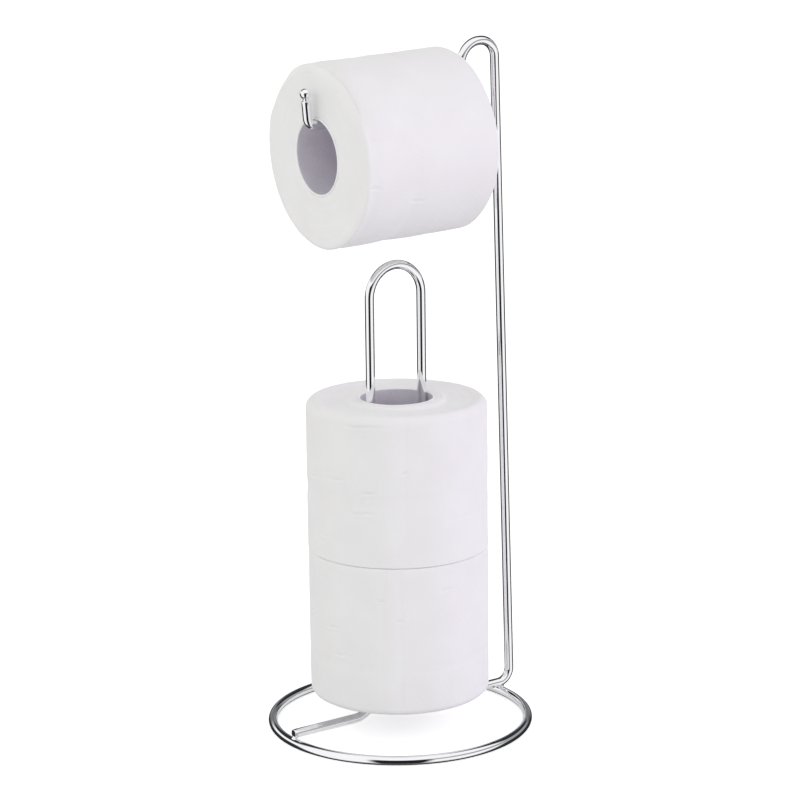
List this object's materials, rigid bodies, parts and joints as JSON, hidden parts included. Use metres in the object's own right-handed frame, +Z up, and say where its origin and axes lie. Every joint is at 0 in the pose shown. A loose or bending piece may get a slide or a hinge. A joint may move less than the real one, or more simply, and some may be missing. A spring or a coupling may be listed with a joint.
{
  "type": "toilet roll storage holder",
  "caption": "Free-standing wire stand on a round base: an upright loop stores spare toilet rolls and a hooked arm with a turned-up ball tip carries the roll in use, which spins.",
  "frame": {"origin": "centre of the base ring, on the floor it stands on", "axes": "+Z up; +X from the ring's centre towards the upright post, in the plane of the bent wire; the hung roll's arm points along -X"},
  "size_m": [0.177, 0.17, 0.4365],
  "materials": {
    "chromed_wire": "polished",
    "tissue_paper": "matte",
    "core_board": "matte"
  },
  "bodies": {
    "stand": {"base_ring": "chromed_wire", "frame_wire": "chromed_wire", "tip_ball": "chromed_wire", "front_weld": "chromed_wire", "rear_weld": "chromed_wire"},
    "hung_roll": {"hung_roll_core": "core_board", "hung_roll_paper": "tissue_paper"},
    "lower_roll": {"lower_roll_core": "core_board", "lower_roll_paper": "tissue_paper"},
    "upper_roll": {"upper_roll_core": "core_board", "upper_roll_paper": "tissue_paper"}
  },
  "joints": [
    {"name": "hung_roll_spin", "type": "hinge", "parent": "stand", "child": "hung_roll", "pos_m": [-0.00824, 0, 0.37324], "axis": [0.9987, -0.0349, 0.0384], "continuous": true},
    {"name": "lower_roll_turn", "type": "hinge", "parent": "stand", "child": "lower_roll", "pos_m": [0, 0, 0.0705], "axis": [0, 0, 1], "continuous": true},
    {"name": "upper_roll_lift", "type": "slide", "parent": "stand", "child": "upper_roll", "axis": [0, 0, 1], "range_m": [0, 0.095]}
  ]
}
